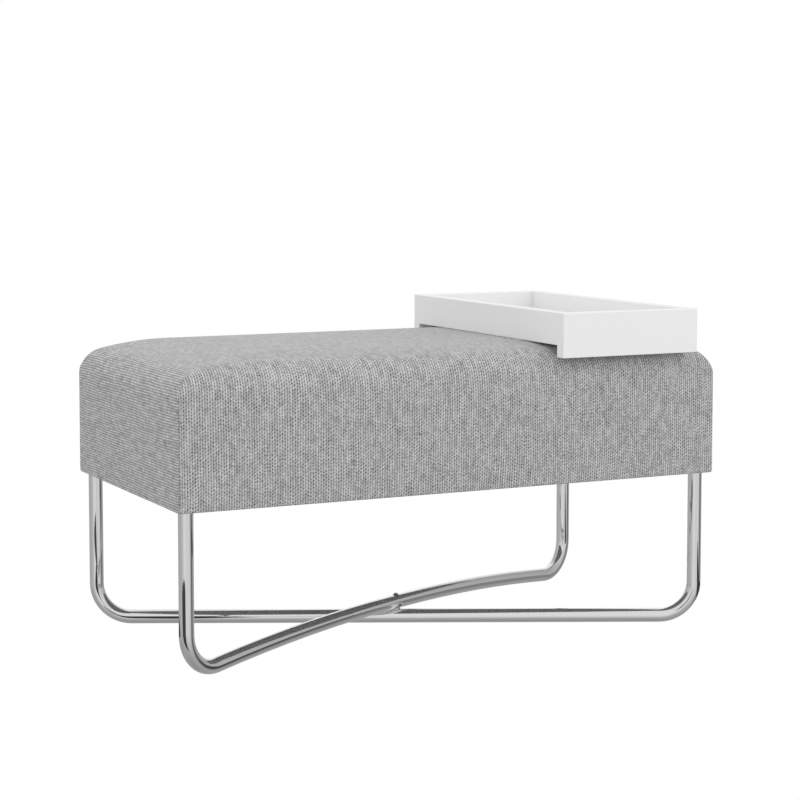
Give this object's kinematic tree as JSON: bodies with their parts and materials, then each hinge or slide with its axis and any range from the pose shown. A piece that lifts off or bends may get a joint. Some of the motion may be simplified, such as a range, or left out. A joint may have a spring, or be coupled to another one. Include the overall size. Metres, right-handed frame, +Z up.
{
  "type": "upholstered bench with sliding tray",
  "caption": "Upholstered block bench on crossed bent tubes, with a box tray that straddles the seat, slides along it and gives a flat place to set things down.",
  "frame": {"origin": "on the floor, under the middle of the whole box", "axes": "+X along the seat towards the end where the tray stands at rest, +Z up, the front faces -Y"},
  "size_m": [0.9, 0.503, 0.5078],
  "materials": {
    "chrome_tube": "polished",
    "plated_steel": "bright zinc plate",
    "plywood": "sawn and sanded",
    "woven_cover": "ribbed weave of light and dark grey yarns",
    "foam": "open-cell foam",
    "lining": "thin non-woven cloth",
    "white_lacquer": "satin white lacquer on board",
    "beech": "fluted dowel rod"
  },
  "bodies": {
    "bench": {"straight_tube": "chrome_tube", "arched_tube": "chrome_tube", "cross_screw": "plated_steel", "cross_saddle": "plated_steel", "cross_bush": "plated_steel", "leg_plate_front_left": "plated_steel", "leg_plate_back_left": "plated_steel", "leg_plate_front_right": "plated_steel", "leg_plate_back_right": "plated_steel", "plate_screws": "plated_steel", "frame_screws": "plated_steel", "lining_staples": "plated_steel", "base_board": "plywood", "front_rail": "plywood", "back_rail": "plywood", "left_end_rail": "plywood", "centre_rail": "plywood", "right_end_rail": "plywood", "corner_blocks": "plywood", "top_deck": "plywood", "seat_cover": "woven_cover", "seat_top_foam": "foam", "seat_side_foam": "foam", "bottom_lining": "lining"},
    "tray": {"tray_floor": "white_lacquer", "tray_front_board": "white_lacquer", "tray_back_board": "white_lacquer", "tray_left_board": "white_lacquer", "tray_right_board": "white_lacquer", "tray_dowels": "beech"}
  },
  "joints": [
    {"name": "tray_slide", "type": "slide", "parent": "bench", "child": "tray", "axis": [1, 0, 0], "range_m": [-0.56, 0]}
  ]
}
